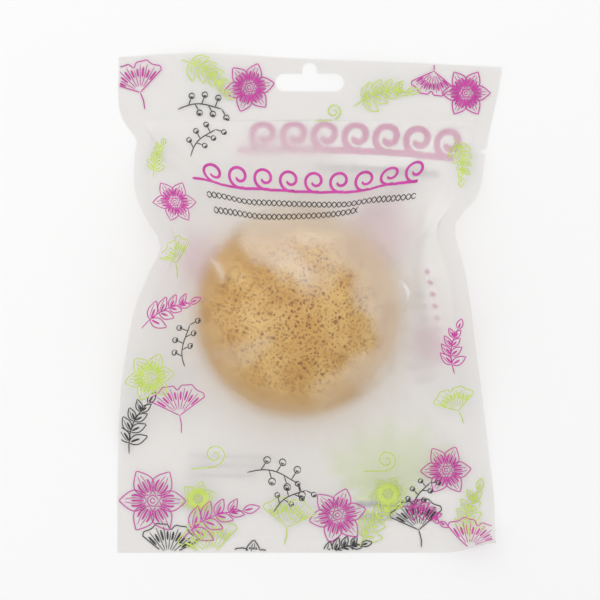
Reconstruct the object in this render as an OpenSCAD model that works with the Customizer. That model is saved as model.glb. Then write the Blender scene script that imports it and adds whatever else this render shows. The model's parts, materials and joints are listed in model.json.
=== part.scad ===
// Dry konjac sponge sealed in a flat hang-sell pouch of frosted film.
// Millimetres. The pouch lies on its back: +Z is up through its printed front, +Y points to the
// header with the hang slot, +X is to the right as the front is read. z = 0 is the resting plane.

/* [Pouch] */
// Width of the flat film, edge to edge
pouch_w = 140; // [130:1:160]
// Height of the flat film, from bottom edge to top edge
pouch_h = 182; // [174:1:210]
// Thickness of one layer of film
film_t = 0.1; // [0.08:0.01:0.2]
// Height of the sealed header that holds the hang slot
header_h = 24.5; // [20:0.5:30]
// Width of each side seal
side_seal_w = 6; // [4:0.5:8]
// Width of the bottom seal
bottom_seal_w = 5; // [4:0.5:8]
// How high the side seals lift off the table where the pouch is narrowest
seam_lift = 13; // [2:0.5:14]

/* [Hang slot] */
// Length of the slot, end to end
slot_w = 25; // [20:0.5:32]
// Height of the slot's straight arms
slot_h = 6.4; // [5:0.2:8]
// Radius of the hump in the middle of the slot's upper edge
hump_r = 2.7; // [2.4:0.1:4]
// Height of the hump's centre above the slot's centreline
hump_rise = 4.5; // [3:0.1:5]
// Distance from the pouch's top edge to the slot's centreline
slot_drop = 10.7; // [9.5:0.1:13]

/* [Tear notch] */
// Depth of the notch in the right edge
notch_depth = 2.6; // [1.5:0.1:4]
// Height of the notch at its mouth
notch_mouth = 2.2; // [1.5:0.1:4]
// Distance from the header's lower edge to the middle of the notch
notch_drop = 7; // [4:0.5:12]

/* [Sponge] */
// Diameter of the half ball at its widest
sponge_d = 74; // [66:0.5:78]
// Height of the half ball
sponge_h = 30; // [26:0.5:32]
// Radius of the rounded rim at the foot of the half ball
sponge_rim_r = 4; // [2:0.5:8]
// Place of the sponge's middle to the right of the pouch's middle
sponge_x = -4.2; // [-6:0.1:6]
// Place of the sponge's middle above the pouch's middle
sponge_y = -4; // [-8:0.1:6]
// How far the loose sponge can be pushed along the pouch, each way
sponge_travel = 4; // [1:0.5:8]
// Gap between the sponge's dome and the film drawn over it
film_gap = 0.3; // [0.2:0.05:0.6]
// How far the film clings to the dome past its first touch, as a share of the way to the rim
cling_share = 0.65; // [0:0.05:0.7]

/* [Creases] */
// Height of the creases that fan out from the sponge
crease_h = 1.1; // [0:0.1:1.5]
// Number of creases round the sponge
crease_count = 17; // [8:1:20]

/* [Air] */
// Height of the fullest cushion of air that lifts the film beside the sponge
air_h = 5.5; // [0:0.5:7]

/* [Hidden] */

// The drawn-in side edges, from the bottom edge up: [share of half the height, share of half the width]
left_edge_shares = [
    [-1.00, 1.000], [-0.72, 0.999], [-0.38, 0.981], [-0.13, 0.930], [0.00, 0.890], [0.12, 0.823],
    [0.23, 0.767], [0.35, 0.856], [0.45, 0.905], [0.59, 0.909], [0.65, 0.900], [0.72, 0.962],
    [0.78, 0.992], [1.00, 0.992]];
right_edge_shares = [
    [-1.00, 0.960], [-0.79, 0.960], [-0.61, 0.933], [-0.36, 0.891], [-0.13, 0.846], [0.00, 0.825],
    [0.12, 0.797], [0.29, 0.745], [0.34, 0.768], [0.41, 0.858], [0.48, 0.889], [0.60, 0.914],
    [0.72, 0.946], [0.84, 0.980], [0.94, 1.000], [1.00, 1.000]];

// The uneven top edge: [share of half the width, drop from the top as a share of the header's height]
top_edge_shares = [[-1.00, 0.06], [-0.60, 0.00], [-0.05, 0.08], [0.50, 0.14], [1.00, 0.21]];
// Cushions of air in the pocket: [share of half the width across, share of half the height up, half
// length as a share of half the width, half width as a share of half the height, share of air_h]
air_shares = [
    [0.00, 0.57, 0.74, 0.15, 0.50], [-0.51, 0.40, 0.17, 0.13, 0.55], [0.51, 0.37, 0.17, 0.13, 0.50],
    [0.43, -0.66, 0.34, 0.20, 1.00], [-0.06, -0.73, 0.40, 0.13, 0.30]];
// Where the side seals are highest, as a share of the way from the bottom seal to the header
peak_share = 0.62;

half_w = pouch_w / 2;
half_h = pouch_h / 2;
seal_t = 2 * film_t;
header_y = half_h - header_h;
floor_y = bottom_seal_w - half_h;
notch_y = header_y - notch_drop;
slot_y = half_h - slot_drop;

rows_below_notch = 34;
rows_above_notch = 3;
columns = 28;
header_steps = 6;
bottom_steps = 2;
rings_on_dome = 6;
rings_free = 5;
rings_back = 4;
cap_share = 0.12;
// The steepest start of a cubic piece that doesn't dip under its level end, as a share of its fall
steepest_share = 3;
dome_steps = 16;
rounding_steps = 6;
sponge_fn = 64;
slot_fn = 64;

sponge_r = sponge_d / 2;
// Centre of the rim's rounding, in the sponge's section
rim_x = sponge_r - sponge_rim_r;
rim_z = film_t + sponge_rim_r;
// Centre and radius of the dome's arc, which runs over the top and meets the rounding smoothly
dome_top = film_t + sponge_h;
dome_z = (pow(dome_top - sponge_rim_r, 2) - pow(rim_x, 2) - pow(rim_z, 2))
    / (2 * (dome_top - sponge_rim_r - rim_z));
dome_r = dome_top - dome_z;
join_angle = atan2(rim_z - dome_z, rim_x);
film_r = dome_r + film_gap;

// Smooth curve through a table of [station, value] pairs, by cubic pieces
function slope_at(t, i) =
    let (a = max(i - 1, 0), b = min(i + 1, len(t) - 1)) (t[b][1] - t[a][1]) / (t[b][0] - t[a][0]);
function piece_of(t, x, i = 0) = i >= len(t) - 2 || x < t[i + 1][0] ? i : piece_of(t, x, i + 1);
function curve_at(t, x) =
    let (
        i = piece_of(t, x),
        span = t[i + 1][0] - t[i][0],
        s = (x - t[i][0]) / span,
        s2 = s * s,
        s3 = s2 * s
    )
    (2 * s3 - 3 * s2 + 1) * t[i][1] + (s3 - 2 * s2 + s) * span * slope_at(t, i)
    + (3 * s2 - 2 * s3) * t[i + 1][1] + (s3 - s2) * span * slope_at(t, i + 1);

function mix(a, b, s) = a + (b - a) * s;
function sum(v, i = 0) = i == len(v) ? 0 : v[i] + sum(v, i + 1);
function left_edge(y) = -half_w * curve_at(left_edge_shares, y / half_h);
function right_edge(y) = half_w * curve_at(right_edge_shares, y / half_h);

function top_edge(x) = half_h - header_h * curve_at(top_edge_shares, x / half_w);

// Height of the seam's underside above the table, which swells to its peak and back to zero
function seam_z(y) =
    let (s = (y - floor_y) / (header_y - floor_y), warped = pow(s, ln(0.5) / ln(peak_share)))
    seam_lift * pow(sin(180 * warped), 2);

// Rows up the pocket, with three at the tear notch
notch_low = notch_y - notch_mouth / 2;
notch_high = notch_y + notch_mouth / 2;
rows = concat(
    [for (i = [0:rows_below_notch - 1]) mix(floor_y, notch_low, i / rows_below_notch)],
    [notch_low, notch_y, notch_high],
    [for (i = [1:rows_above_notch]) mix(notch_high, header_y, i / rows_above_notch)]);
last_row = len(rows) - 1;

function left_inner(y) = left_edge(y) + side_seal_w;
function right_inner(y) = right_edge(y) - side_seal_w;

// The pocket's rim, anticlockwise from its lower left corner. Each entry is a point of the rim, as
// [x, y, underside of the seam], and a guide point on the flat pocket's plain rectangle, which aims
// the film's line that ends there
guide_x = half_w - side_seal_w;
function end_point(y, s) = [[mix(left_inner(y), right_inner(y), s), y, 0], [mix(-guide_x, guide_x, s), y]];
rim = concat(
    [for (i = [0:columns - 1]) end_point(floor_y, i / columns)],
    [for (i = [0:last_row]) let (y = rows[i]) [[right_inner(y), y, seam_z(y)], [guide_x, y]]],
    [for (i = [columns - 1:-1:1]) end_point(header_y, i / columns)],
    [for (i = [last_row:-1:1]) let (y = rows[i]) [[left_inner(y), y, seam_z(y)], [-guide_x, y]]]);

function plan(q) = [q[0], q[1]];
function rise(p) = p[0][2];
// The point of the sponge's line of travel that lies nearest to the guide point
function spine(p) = [sponge_x, min(max(p[1][1], sponge_y - sponge_travel), sponge_y + sponge_travel)];
function aim(p) = (p[1] - spine(p)) / norm(p[1] - spine(p));
function out(p, r) = spine(p) + aim(p) * r;

// Where the film leaves the dome on its way to the rim: past the tangent point of a taut film
function taut_angle(p) =
    let (up = rise(p) + film_t - dome_z, run = norm(plan(p[0]) - spine(p)))
    atan2(up, run) + acos(film_r / norm([run, up]));
function leave_angle(p) = mix(taut_angle(p), join_angle, cling_share);
function leave_r(p) = film_r * cos(leave_angle(p));
function dome_at(r) = dome_z + sqrt(pow(film_r, 2) - pow(r, 2));

// Height of the film's free stretch at a share s of its run: a cubic piece that leaves the dome along
// its slope, or as steeply as it can without a dip, and lands level on the seams
function free_z(p, s) =
    let (
        way = plan(p[0]) - out(p, leave_r(p)),
        high = dome_at(leave_r(p)),
        low = rise(p) + film_t,
        slope = min((way * aim(p)) / tan(leave_angle(p)), steepest_share * (high - low)),
        s2 = s * s,
        s3 = s2 * s
    )
    low + (2 * s3 - 3 * s2 + 1) * (high - low) - (s3 - 2 * s2 + s) * slope;
function crease(p, s) =
    let (a = aim(p))
    crease_h * 2 * s * (1 - s) * (1 + sin(crease_count * atan2(a[1], a[0])));
// Lift of the film by the air at a point of its plan, which fades out at the dome and the seams
function air(q, s) =
    air_h * sqrt(4 * s * (1 - s)) * sum([for (a = air_shares)
        a[4] * exp(-pow((q[0] / half_w - a[0]) / a[2], 2) - pow((q[1] / half_h - a[1]) / a[3], 2))]);
function at(q, z) = [q[0], q[1], z];

// Inner face of the front film: over the dome first, then down to the rim
function front_on_dome(p, s) = let (r = leave_r(p) * s) at(out(p, r), dome_at(r));
function front_free(p, s) =
    let (q = mix(out(p, leave_r(p)), plan(p[0]), s)) at(q, free_z(p, s) + crease(p, s) + air(q, s));
front_rings = concat(
    [[for (p = rim) front_free(p, 1)]],
    [for (k = [rings_free - 1:-1:1]) [for (p = rim) front_free(p, k / rings_free)]],
    [for (k = [rings_on_dome:-1:1]) [for (p = rim) front_on_dome(p, k / rings_on_dome)]],
    [[for (p = rim) front_on_dome(p, cap_share / rings_on_dome)]]);
front_hub = [sponge_x, sponge_y, dome_at(0)];

// Outer face of the back film: flat under the sponge's travel, then up to the rim in an S curve
function back_at(p, s) = at(mix(out(p, sponge_r), plan(p[0]), s), rise(p) * s * s * (3 - 2 * s));
back_rings = [for (k = [rings_back:-1:0]) [for (p = rim) back_at(p, k / rings_back)]];
back_hub = [sponge_x, sponge_y, 0];

// A closed sheet of the film's thickness over rings of points that run inwards to a hub
module sheet(rings, hub) {
    n = len(rings[0]);
    count = len(rings);
    lower = concat([for (ring = rings) each ring], [hub]);
    upper = [for (q = lower) q + [0, 0, film_t]];
    top = len(lower);
    last = top - 1 - n;
    faces = concat(
        [for (k = [0:count - 2]) for (i = [0:n - 1])
            let (j = (i + 1) % n, a = k * n, b = a + n)
            each [[a + i, b + j, a + j], [a + i, b + i, b + j]]],
        [for (k = [0:count - 2]) for (i = [0:n - 1])
            let (j = (i + 1) % n, a = top + k * n, b = a + n)
            each [[a + i, a + j, b + j], [a + i, b + j, b + i]]],
        [for (i = [0:n - 1]) let (j = (i + 1) % n) each [[i, j, top + j], [i, top + j, top + i]]],
        [for (i = [0:n - 1]) let (j = (i + 1) % n)
            each [[last + i, top - 1, last + j], [top + last + i, top + last + j, 2 * top - 1]]]);
    polyhedron(
        points = concat(lower, upper),
        faces = [for (f = faces) [for (i = [len(f) - 1:-1:0]) f[i]]]);
}

// A closed band of the seal's thickness between two lines of points, the first on its left
module band(first, second) {
    n = len(first);
    lower = concat(first, second);
    upper = [for (q = lower) q + [0, 0, seal_t]];
    top = 2 * n;
    strip = [for (i = [0:n - 2]) each [[i, n + i, n + i + 1], [i, n + i + 1, i + 1]]];
    faces = concat(
        [for (f = strip) f],
        [for (f = strip) [top + f[2], top + f[1], top + f[0]]],
        [for (i = [0:n - 2]) each [[i, i + 1, top + i + 1], [i, top + i + 1, top + i]]],
        [for (i = [0:n - 2])
            each [[n + i + 1, n + i, top + n + i], [n + i + 1, top + n + i, top + n + i + 1]]],
        [[0, top, top + n], [0, top + n, n]],
        [[n - 1, 2 * n - 1, top + 2 * n - 1], [n - 1, top + 2 * n - 1, top + n - 1]]);
    polyhedron(points = concat(lower, upper), faces = faces);
}

// Half of the sponge's section: the dome's arc, the rounded rim and the flat foot
module sponge_section() {
    dome = [for (i = [0:dome_steps])
        let (a = mix(90, join_angle, i / dome_steps)) [dome_r * cos(a), dome_z + dome_r * sin(a)]];
    rounding = [for (i = [1:rounding_steps])
        let (a = mix(join_angle, -90, i / rounding_steps))
        [rim_x + sponge_rim_r * cos(a), rim_z + sponge_rim_r * sin(a)]];
    polygon(concat(dome, rounding, [[0, film_t]]));
}

module sponge() {
    color([0.80, 0.62, 0.38])
    translate([sponge_x, sponge_y])
    rotate_extrude($fn = sponge_fn)
    sponge_section();
}

module front_film() {
    color([0.92, 0.91, 0.90, 0.5])
    sheet(front_rings, front_hub);
}

module back_film() {
    color([0.88, 0.87, 0.86, 0.5])
    sheet(back_rings, back_hub);
}

// Hang slot: two round-ended arms with a hump in the middle of the upper edge
module slot_outline() {
    arm = slot_w / 2 - slot_h / 2;
    square([2 * arm, slot_h], center = true);
    for (side = [-1, 1])
        translate([side * arm, 0]) circle(d = slot_h, $fn = slot_fn);
    translate([0, hump_rise]) circle(r = hump_r, $fn = slot_fn);
    translate([0, hump_rise / 2]) square([2 * hump_r, hump_rise], center = true);
}

module header_seal() {
    shares = [for (i = [0:header_steps]) i / header_steps];
    right_top = top_edge(half_w);
    left_top = top_edge(-half_w);
    right = [for (s = shares) let (y = mix(header_y, right_top, s)) [right_edge(y), y]];
    left = [for (s = shares) let (y = mix(left_top, header_y, s)) [left_edge(y), y]];
    top = [for (i = [1:columns - 1])
        let (x = mix(right_edge(right_top), left_edge(left_top), i / columns)) [x, top_edge(x)]];
    color([0.94, 0.93, 0.92, 0.6])
    linear_extrude(seal_t)
    difference() {
        polygon(concat(right, top, left));
        translate([0, slot_y]) slot_outline();
    }
}

module bottom_seal() {
    heights = [for (i = [0:bottom_steps]) mix(-half_h, floor_y, i / bottom_steps)];
    color([0.94, 0.93, 0.92, 0.6])
    linear_extrude(seal_t)
    polygon(concat(
        [for (y = heights) [right_edge(y), y]],
        [for (i = [bottom_steps:-1:0]) [left_edge(heights[i]), heights[i]]]));
}

module left_seal() {
    color([0.94, 0.93, 0.92, 0.6])
    band(
        [for (y = rows) [left_edge(y), y, seam_z(y)]],
        [for (y = rows) [left_inner(y), y, seam_z(y)]]);
}

module right_seal() {
    color([0.94, 0.93, 0.92, 0.6])
    band(
        [for (y = rows) [right_inner(y), y, seam_z(y)]],
        [for (y = rows) [right_edge(y) - (y == notch_y ? notch_depth : 0), y, seam_z(y)]]);
}

sponge();
front_film();
back_film();
header_seal();
bottom_seal();
left_seal();
right_seal();
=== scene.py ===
import json
import math

import bpy
import numpy as np
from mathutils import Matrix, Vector, kdtree
from mathutils.bvhtree import BVHTree
from mathutils.geometry import delaunay_2d_cdt


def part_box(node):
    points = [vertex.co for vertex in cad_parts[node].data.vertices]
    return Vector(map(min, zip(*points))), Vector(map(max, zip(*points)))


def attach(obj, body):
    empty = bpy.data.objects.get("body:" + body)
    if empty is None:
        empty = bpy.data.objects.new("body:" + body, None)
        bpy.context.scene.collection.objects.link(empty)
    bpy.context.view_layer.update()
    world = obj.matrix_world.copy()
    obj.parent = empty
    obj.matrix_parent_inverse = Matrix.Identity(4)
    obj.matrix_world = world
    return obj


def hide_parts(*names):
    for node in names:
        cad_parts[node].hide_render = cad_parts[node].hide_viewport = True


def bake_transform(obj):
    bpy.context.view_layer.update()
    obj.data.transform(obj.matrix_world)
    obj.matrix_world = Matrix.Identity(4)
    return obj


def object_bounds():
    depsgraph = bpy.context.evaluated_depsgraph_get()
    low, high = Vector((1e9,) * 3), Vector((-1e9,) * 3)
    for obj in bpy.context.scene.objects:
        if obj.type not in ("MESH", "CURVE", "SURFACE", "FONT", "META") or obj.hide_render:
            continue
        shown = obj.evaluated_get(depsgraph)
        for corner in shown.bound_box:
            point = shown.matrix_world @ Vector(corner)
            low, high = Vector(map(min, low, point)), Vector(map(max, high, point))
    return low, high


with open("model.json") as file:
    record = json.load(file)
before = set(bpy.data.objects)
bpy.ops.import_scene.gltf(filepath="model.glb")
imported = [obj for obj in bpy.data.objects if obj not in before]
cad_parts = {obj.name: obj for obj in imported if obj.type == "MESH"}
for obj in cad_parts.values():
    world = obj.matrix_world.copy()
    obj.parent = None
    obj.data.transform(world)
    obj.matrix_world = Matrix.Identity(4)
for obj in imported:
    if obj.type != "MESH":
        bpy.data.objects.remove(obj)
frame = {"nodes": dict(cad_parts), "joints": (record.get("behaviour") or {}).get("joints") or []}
cad_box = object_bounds()

# Lengths below are millimetres until a mesh is made
MM = 0.001
SEED = 7
FAR = 1e3

# As in the CAD source: the film's thickness, single and welded, and the sponge's rounded rim
FILM_T = 0.1
SEAL_T = 2 * FILM_T
RIM_R = 4.0

# The tear notch's place up the right edge in the photo, and how clear of it the plain edge stays
NOTCH_Y = 55.1
NOTCH_CLEAR = 0.3

# How near points of the frame are along the pouch to be one row, or to lie on one edge
SAME_ROW = 0.02
SAME_EDGE = 0.1


def shares(count):
    """Evenly spread shares from 0 to 1."""
    return np.linspace(0, 1, count)


def between(places, known, table):
    """A table's rows at places between its known ones."""
    return np.column_stack([np.interp(places, known, column) for column in table.T])


def node_points(node):
    """The vertices of a node of the frame, in millimetres."""
    return np.array([v.co[:] for v in frame["nodes"][node].data.vertices]) / MM


def node_box(node):
    """Lowest and highest corner of a node of the frame, in millimetres."""
    low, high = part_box(node)
    return np.array(low) / MM, np.array(high) / MM


def seal_rows(node):
    """A side seal's rows from the bottom up: y, least x, greatest x and underside."""
    points = node_points(node)
    heights = np.unique(np.round(points[:, 1], 2))
    rows = [points[np.abs(points[:, 1] - y) < SAME_ROW] for y in heights]
    return np.array([[r[:, 1].mean(), r[:, 0].min(), r[:, 0].max(), r[:, 2].min()] for r in rows])


def with_notch_at(rows, y):
    """A side seal's rows with its tear notch moved to another place up its outer edge."""
    dip = (rows[:-2, 2] + rows[2:, 2]) / 2 - rows[1:-1, 2]
    tip = 1 + int(np.argmax(dip))
    half_high = (rows[tip + 1, 0] - rows[tip - 1, 0]) / 2
    plain = np.delete(rows, tip, 0)
    notch = between(y + half_high * np.array([-1, 0, 1]), plain[:, 0], plain)
    notch[1, 2] -= dip.max()
    clear = np.abs(plain[:, 0] - y) > half_high + NOTCH_CLEAR
    rows = np.concatenate([plain[clear], notch])
    return rows[np.argsort(rows[:, 0])]


# Sizes read from the frame
left_rows = seal_rows("left_seal")
right_rows = with_notch_at(seal_rows("right_seal"), NOTCH_Y)
header_low, header_high = node_box("header_seal")
bottom_low, bottom_high = node_box("bottom_seal")
sponge_low, sponge_high = node_box("sponge")
film_top = node_box("front_film")[1][2]
header_y = header_low[1]
floor_y = bottom_high[1]
side_seal_w = left_rows[0, 2] - left_rows[0, 1]
half_w = cad_box[1][0] / MM
sponge_x, sponge_y = (sponge_low + sponge_high)[:2] / 2
sponge_r = (sponge_high[0] - sponge_low[0]) / 2
film_gap = film_top - FILM_T - sponge_high[2]
travel = max(abs(r) for r in frame["joints"][0]["range_m"]) / MM

# The sponge's section: a dome's arc over the top that meets the rounded rim
rim_x = sponge_r - RIM_R
rim_z = sponge_low[2] + RIM_R
under_top = sponge_high[2] - RIM_R
dome_z = (under_top**2 - rim_x**2 - rim_z**2) / (2 * (under_top - rim_z))
dome_r = sponge_high[2] - dome_z
join_angle = math.atan2(rim_z - dome_z, rim_x)

# How far the front film's shape leaves room for the sponge's slide: over all its travel at the
# seams, and not at all over the dome
HOLD_FADE = 6
hold_low = left_rows[:, 3].max() + SEAL_T + FILM_T
hold_high = hold_low + HOLD_FADE
HUGGING = "pouch and sponge"


# Meshes

def in_scene(name, data):
    """A new object of the scene."""
    made = bpy.data.objects.new(name, data)
    bpy.context.scene.collection.objects.link(made)
    return made


def make_object(name, vertices, faces, body, smooth_angle=50):
    """An object of plain mesh data, which rides on a body; one that hugs the sponge stays in place
    on no body.
    """
    mesh = bpy.data.meshes.new(name)
    mesh.from_pydata((np.asarray(vertices) * MM).tolist(), [], [tuple(map(int, f)) for f in faces])
    mesh.validate()
    mesh.polygons.foreach_set("use_smooth", [True] * len(mesh.polygons))
    mesh.set_sharp_from_angle(angle=math.radians(smooth_angle))
    mesh.update()
    piece = in_scene(name, mesh)
    if body == HUGGING:
        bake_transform(piece)
    else:
        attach(piece, body)
    return piece


def stand_in(name, vertices, faces, body, node, slot, smooth_angle=50):
    """An object that stands for a node of the frame."""
    piece = make_object(name, vertices, faces, body, smooth_angle)
    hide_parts(node)
    return piece


def share_field(piece, name, values):
    """Gives each point of a piece a share that its material reads."""
    attribute = piece.data.attributes.new(name, "FLOAT", "POINT")
    attribute.data.foreach_set("value", np.asarray(values, np.float32))


def grid_faces(rows, columns):
    """Quads between the points of a grid, facing up where its rows run along +Y."""
    i, j = np.meshgrid(np.arange(rows - 1), np.arange(columns - 1), indexing="ij")
    a = (i * columns + j).ravel()
    return np.column_stack([a, a + 1, a + columns + 1, a + columns])


def unit(vectors):
    """Vectors drawn out to unit length."""
    return vectors / np.maximum(np.linalg.norm(vectors, axis=-1, keepdims=True), 1e-9)


def grid_normals(grid):
    """Unit normals of a grid's surface, up where its rows run along +Y."""
    return unit(np.cross(np.gradient(grid, axis=1), np.gradient(grid, axis=0)))


def two_faced(lower, thickness, cut_sides):
    """Vertices and faces of a sheet over the grid lower. Only its cut sides are closed:
    on the others the film runs on into the next piece of the weld."""
    rows, columns = lower.shape[:2]
    upper = lower + grid_normals(lower) * thickness
    count = rows * columns
    index = np.arange(count).reshape(rows, columns)
    lines = {"bottom": index[0], "right": index[:, -1], "left": index[::-1, 0]}
    quads = grid_faces(rows, columns)
    faces = [quads[:, ::-1], quads + count]
    for side in cut_sides:
        a, b = lines[side][:-1], lines[side][1:]
        faces.append(np.column_stack([a, b, b + count, a + count]))
    return np.concatenate([lower.reshape(-1, 3), upper.reshape(-1, 3)]), np.concatenate(faces)


def smoother(grid, passes):
    """A grid whose inner points went half-way to their neighbours' middle at each pass."""
    grid = grid.copy()
    for _ in range(passes):
        middle = (grid[:-2, 1:-1] + grid[2:, 1:-1] + grid[1:-1, :-2] + grid[1:-1, 2:]) / 4
        grid[1:-1, 1:-1] += 0.5 * (middle - grid[1:-1, 1:-1])
    return grid


# The film's drape: a sheet of springs, laid over the sponge from coarse to fine

# Slack across and along, and how far up and down the pouch the sponge holds the film up
FLAT_SLACK = 0.05
LENGTH_SLACK = 1.025
TENT_WIDE = 42.0

# The tent that the front film starts from: middle, half sizes and height; and a random unevenness
TENT = (sponge_x, sponge_y, 34, 40)
TENT_HIGH = 26
UNEVEN = 0.4

# Rows and columns to start with, and the passes before each doubling and at the end
COARSE = (15, 12)
PASSES = (400, 400, 300, 220)

# The share of a stretch, of a slant stretch and of a bend that one pass takes out
STRAIGHT_PULL, SLANT_PULL, BEND_PULL = 0.9, 0.4, 0.1

# The share of its speed that a point keeps, the further share where it touches, and what it gains
KEPT_SPEED, TOUCHING_SPEED = 0.93, 0.5
FRONT_GRAVITY, BACK_GRAVITY = 0.003, 0.004

# Smoothing passes over the settled grid, over the doubled one, where it clings, and last touches
SMOOTH_SETTLED, SMOOTH_DOUBLED, SMOOTH_CLUNG, LAST_TOUCHES = 6, 8, 12, 3

seam_left = left_rows[:, [2, 0, 3]]
seam_right = right_rows[:, [1, 0, 3]]


def way_along(points):
    """How far along a line each of its points lies."""
    return np.concatenate([[0], np.cumsum(np.linalg.norm(np.diff(points, axis=0), axis=1))])


left_way, right_way = way_along(seam_left), way_along(seam_right)
left_share, right_share = left_way / left_way[-1], right_way / right_way[-1]
flat_h = max(left_way[-1], right_way[-1]) * LENGTH_SLACK


def seams_at(v, rise):
    """The two side seams at shares v of the pocket's height, lifted by rise."""
    lift = np.array([0, 0, rise])
    return between(v, left_share, seam_left) + lift, between(v, right_share, seam_right) + lift


def between_seams(rows, columns, rise):
    """A grid of straight rows from seam to seam."""
    left, right = seams_at(shares(rows), rise)
    return left[:, None] + (right - left)[:, None] * shares(columns)[None, :, None]


def row_widths(v):
    """The film's flat width between the seams at shares v: the tent's path with a little slack."""
    left, right = seams_at(v, 0)
    chord = np.linalg.norm(right - left, axis=1)
    middle = (left + right) / 2
    peak = sponge_high[2] * np.exp(-(((middle[:, 1] - sponge_y) / TENT_WIDE) ** 2)) - middle[:, 2]
    return 2 * np.hypot(chord / 2, np.maximum(peak, 0)) * (1 + FLAT_SLACK)


def ease(value, low, high):
    """A smooth step from 0 at low to 1 at high."""
    t = np.clip((value - low) / (high - low), 0, 1)
    return t * t * (3 - 2 * t)


def skin_height(r):
    """Height of the film on the sponge at distance r from its axis, or far below outside it."""
    skin = dome_r + film_gap
    dome = dome_z + np.sqrt(np.maximum(skin**2 - r**2, 0))
    out = r - rim_x
    rounding = rim_z + np.sqrt(np.maximum((RIM_R + film_gap) ** 2 - out**2, 0))
    height = np.where(r < skin * math.cos(join_angle), dome, rounding)
    return np.where(r < sponge_r + film_gap, height, -FAR)


def over_sponge(grid):
    x, y = grid[..., 0], grid[..., 1]
    at_rest = skin_height(np.hypot(x - sponge_x, y - sponge_y))
    slip = travel * (1 - ease(at_rest, hold_low, hold_high))
    near = np.clip(y, sponge_y - slip, sponge_y + slip)
    return skin_height(np.hypot(x - sponge_x, y - near))


def pull(a, b, free_a, free_b, rest, stiffness):
    """Moves two sets of points towards their rest distance."""
    gap = b - a
    length = np.sqrt((gap * gap).sum(-1, keepdims=True)) + 1e-9
    share = stiffness * (length - rest) / length / np.maximum(free_a + free_b, 1e-9)
    a += gap * share * free_a
    b -= gap * share * free_b


def neighbours(count, odd):
    """Every second point of a line, and the points after them."""
    after = slice(odd + 1, count, 2)
    return slice(odd, odd + 2 * len(range(*after.indices(count))), 2), after


def pull_all(grid, free, across, upward, slant):
    """One pass over the springs of a grid: along its rows, its columns and both diagonals."""
    rows, columns = grid.shape[:2]
    for odd in (0, 1):
        a, b = neighbours(columns, odd)
        pull(grid[:, a], grid[:, b], free[:, a], free[:, b], across, STRAIGHT_PULL)
        pull(grid[:-1, a], grid[1:, b], free[:-1, a], free[1:, b], slant, SLANT_PULL)
        pull(grid[1:, a], grid[:-1, b], free[1:, a], free[:-1, b], slant, SLANT_PULL)
        a, b = neighbours(rows, odd)
        pull(grid[a], grid[b], free[a], free[b], upward, STRAIGHT_PULL)


def stiffen(grid, free):
    """One pass of the film's resistance to bending."""
    for view, free_view in ((grid, free), (grid.transpose(1, 0, 2), free.transpose(1, 0, 2))):
        bend = view[:-2] + view[2:] - 2 * view[1:-1]
        view[1:-1] += BEND_PULL * bend * free_view[1:-1]


# The share of its width over which a seam holds the front film up, and the least room under it
SEAM_REACH = 0.2
LEAST_ROOM = 0.15


def inward(count):
    """The share of the way in from both ends of a row of points."""
    return np.minimum(shares(count), 1 - shares(count))


def seam_support(rows, columns, rise):
    """How high the seams hold the front film up beside them, at each point of a grid."""
    left, right = seams_at(shares(rows), rise)
    beside = np.clip(1 - (inward(columns) / SEAM_REACH) ** 2, 0, 1)
    return ((left + right) / 2)[:, 2:] * beside


def relax(grid, passes, rise, gravity, limit):
    """Lets a film settle between its seams. limit moves the points out of what they touch."""
    rows, columns = grid.shape[:2]
    frozen = np.zeros((rows, columns), bool)
    frozen[[0, -1]] = frozen[:, [0, -1]] = True
    straight = between_seams(rows, columns, rise)
    grid[frozen] = straight[frozen]
    free = np.where(frozen, 0.0, 1.0)[..., None]
    step = row_widths(shares(rows)) / (columns - 1)
    across = step[:, None, None]
    upward = flat_h / (rows - 1)
    slant = np.hypot((step[1:] + step[:-1]) / 2, upward)[:, None, None]
    support = seam_support(rows, columns, rise)
    speed = np.zeros_like(grid)
    for _ in range(passes):
        speed *= KEPT_SPEED
        speed[..., 2] -= gravity
        before = grid.copy()
        grid += speed * free
        stiffen(grid, free)
        pull_all(grid, free, across, upward, slant)
        pull_all(grid, free, across, upward, slant)
        touched = limit(grid, support)
        grid[frozen] = straight[frozen]
        speed = grid - before
        speed[touched] *= TOUCHING_SPEED
    return grid


def finer(grid):
    """The grid with a point added between each two neighbours."""
    rows, columns = grid.shape[:2]
    fine = np.zeros((2 * rows - 1, 2 * columns - 1, 3))
    fine[::2, ::2] = grid
    fine[1::2, ::2] = (grid[1:] + grid[:-1]) / 2
    fine[:, 1::2] = (fine[:, 2::2] + fine[:, :-1:2]) / 2
    return fine


def off_middle(grid, x, y, wide, high):
    """The squared distance of points from the middle of an ellipse, 1 on its outline."""
    return ((grid[..., 0] - x) / wide) ** 2 + ((grid[..., 1] - y) / high) ** 2


def settle(rise, gravity, tent_high, limit):
    """A film settled from a coarse grid to a fine one, and smoothed."""
    chance = np.random.default_rng(SEED)
    grid = between_seams(*COARSE, rise)
    grid[..., 2] = np.maximum(grid[..., 2], tent_high * np.exp(-off_middle(grid, *TENT)))
    grid[1:-1, 1:-1] += chance.uniform(-UNEVEN, UNEVEN, grid[1:-1, 1:-1].shape)
    for level, passes in enumerate(PASSES):
        if level:
            grid = finer(grid)
        grid = relax(grid, passes, rise, gravity, limit)
    grid = smoother(finer(smoother(grid, SMOOTH_SETTLED)), SMOOTH_DOUBLED)
    held = grid.copy()
    for _ in range(LAST_TOUCHES):
        limit(grid, seam_support(*grid.shape[:2], rise))
        grid[[0, -1]] = held[[0, -1]]
        grid[:, [0, -1]] = held[:, [0, -1]]
        grid = smoother(grid, 1)
    return grid


# Where the air in the pocket holds the front film up: middle across and up, half sizes and height
AIR = (
    (-16, 51, 30, 9, 5.5), (-34, -58, 20, 16, 4.5), (6, -60, 22, 14, 5.5), (34, -52, 18, 14, 7.0))


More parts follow.
